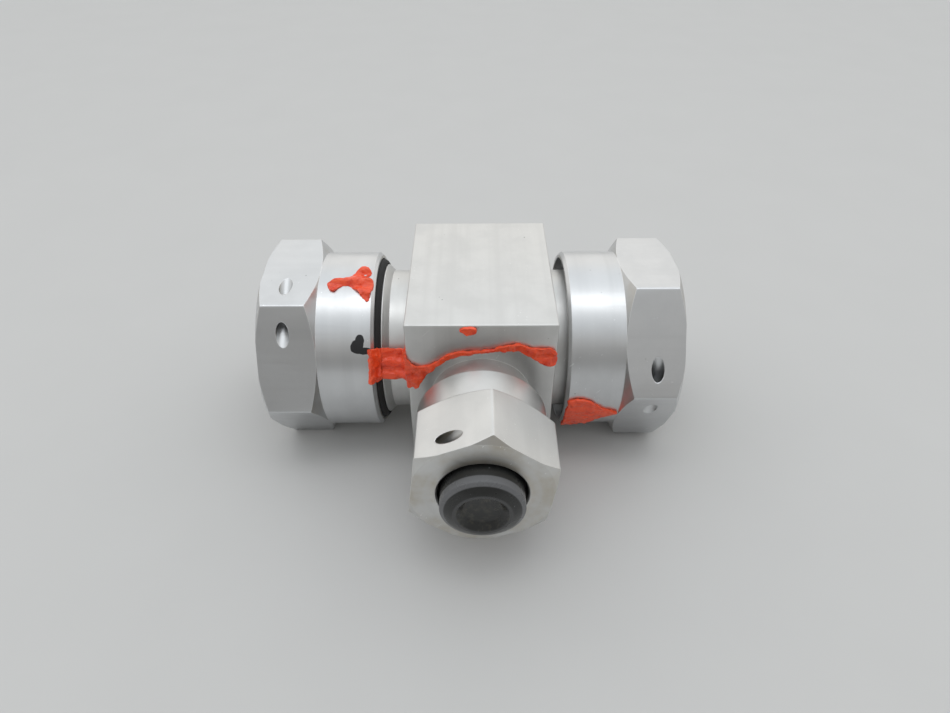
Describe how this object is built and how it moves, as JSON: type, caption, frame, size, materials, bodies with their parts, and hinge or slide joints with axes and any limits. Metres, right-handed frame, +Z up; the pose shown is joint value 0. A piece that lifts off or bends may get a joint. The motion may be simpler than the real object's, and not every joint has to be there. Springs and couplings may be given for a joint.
{
  "type": "unequal tee fitting",
  "caption": "Unequal tee tube fitting: square body, hexagon union nuts with plain skirts and wire holes, a smaller branch, seal rings, blanking plugs and torque lacquer.",
  "frame": {"origin": "where the run's axis and the branch's axis cross, inside the block", "axes": "+X along the run, towards the nut that is screwed home; the branch points to -Y; +Z is up, square to both"},
  "size_m": [0.0905, 0.0703, 0.0398],
  "materials": {
    "aluminium": "satin, bar stock turned and milled, lightly scratched",
    "seal_rubber": "smooth, slightly glossy with grease",
    "plug_plastic": "dark grey, turned, dull",
    "lacquer": "orange-red torque lacquer, dried glossy"
  },
  "bodies": {
    "tee": {"tee_body": "aluminium", "left_skirt_ring": "seal_rubber", "right_skirt_ring": "seal_rubber", "branch_skirt_ring": "seal_rubber", "bridge_lacquer": "lacquer", "edge_lacquer": "lacquer"},
    "left_closure": {"left_plug": "plug_plastic", "left_plug_ring": "seal_rubber"},
    "left_nut": {"left_nut": "aluminium", "bridge_end_lacquer": "lacquer", "left_nut_lacquer": "lacquer"},
    "right_closure": {"right_plug": "plug_plastic", "right_plug_ring": "seal_rubber"},
    "right_nut": {"right_nut": "aluminium", "right_nut_lacquer": "lacquer"},
    "branch_closure": {"branch_plug": "plug_plastic", "branch_plug_ring": "seal_rubber"},
    "branch_nut": {"branch_nut": "aluminium"}
  },
  "joints": [
    {"name": "left_travel", "type": "slide", "parent": "tee", "child": "left_closure", "axis": [-1, 0, 0], "range_m": [-0.0039, 0.0066]},
    {"name": "left_nut_turn", "type": "hinge", "parent": "left_closure", "child": "left_nut", "pos_m": [0, 0, 0], "axis": [-1, 0, 0], "range_deg": [-663.3, 1122.5]},
    {"name": "right_travel", "type": "slide", "parent": "tee", "child": "right_closure", "axis": [1, 0, 0], "range_m": [0, 0.0105]},
    {"name": "right_nut_turn", "type": "hinge", "parent": "right_closure", "child": "right_nut", "pos_m": [0, 0, 0], "axis": [1, 0, 0], "range_deg": [0, 1785.8]},
    {"name": "branch_travel", "type": "slide", "parent": "tee", "child": "branch_closure", "axis": [0, -1, 0], "range_m": [0, 0.0068]},
    {"name": "branch_nut_turn", "type": "hinge", "parent": "branch_closure", "child": "branch_nut", "pos_m": [0, 0, 0], "axis": [0, -1, 0], "range_deg": [0, 1349.3]}
  ],
  "couplings": [
    {"joint": "left_travel", "follows": "left_nut_turn", "m_per_rad": 0.00033688},
    {"joint": "right_travel", "follows": "right_nut_turn", "m_per_rad": 0.00033688},
    {"joint": "branch_travel", "follows": "branch_nut_turn", "m_per_rad": 0.00028875}
  ]
}
